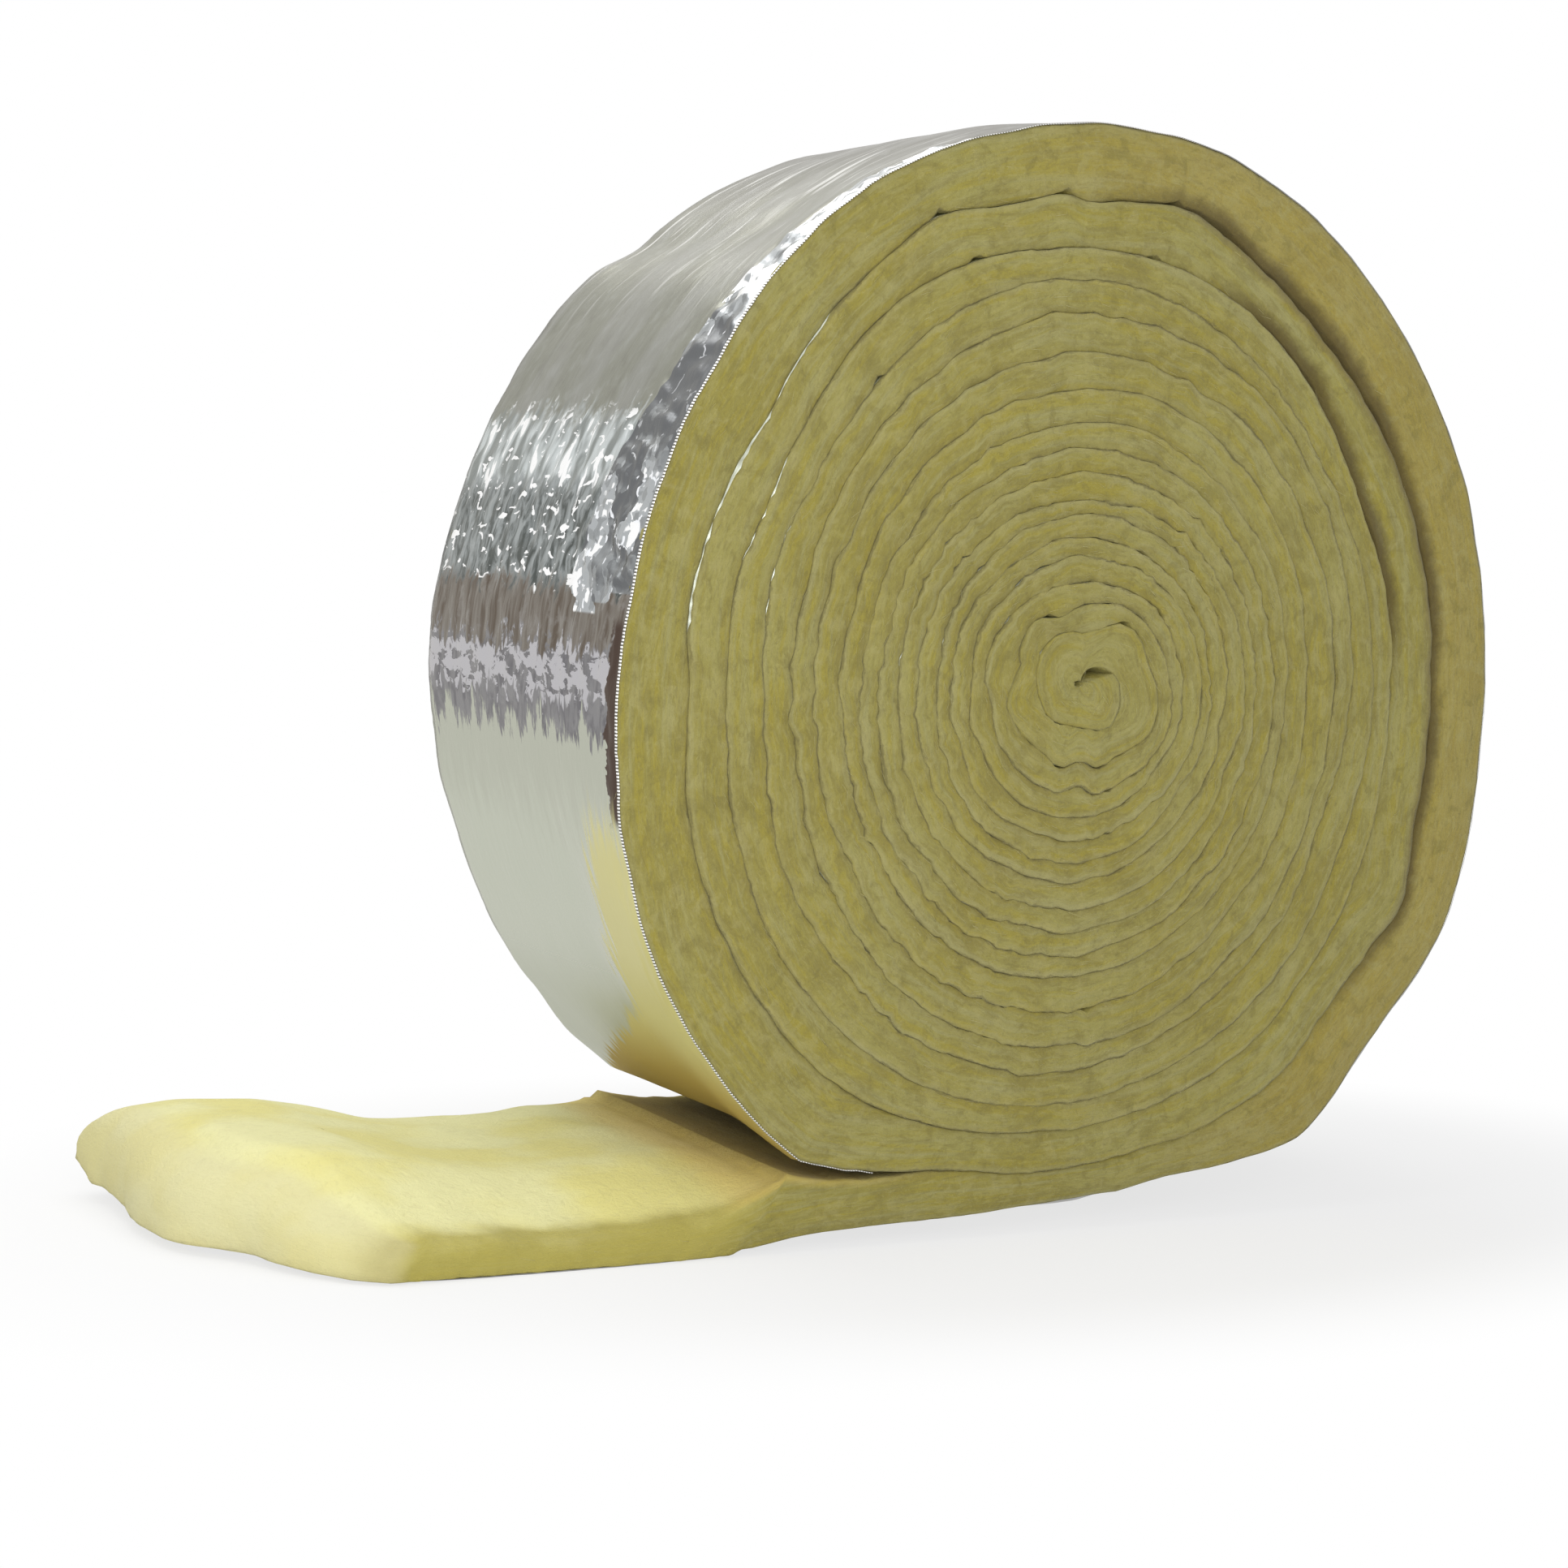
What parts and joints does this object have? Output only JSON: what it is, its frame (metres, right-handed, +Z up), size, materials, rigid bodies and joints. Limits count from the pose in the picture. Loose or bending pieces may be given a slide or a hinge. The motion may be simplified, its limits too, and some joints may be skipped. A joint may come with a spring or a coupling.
{
  "type": "insulation roll",
  "caption": "Hand-wound roll of glass wool blanket with a foil facing, lying on its side with its free end run out flat along the floor.",
  "frame": {"origin": "on the floor, under the middle of the roll and halfway along its width", "axes": "+Z up from the floor, +Y along the axis of the roll, away from the end that faces front, and the free end runs out along -X"},
  "size_m": [1.0983, 0.3, 0.8422],
  "materials": {
    "wool": "matt fibrous glass wool, olive yellow",
    "foil": "satin crinkled foil"
  },
  "bodies": {
    "root": {"wool_blanket": "wool", "foil_facing": "foil"}
  },
  "joints": []
}
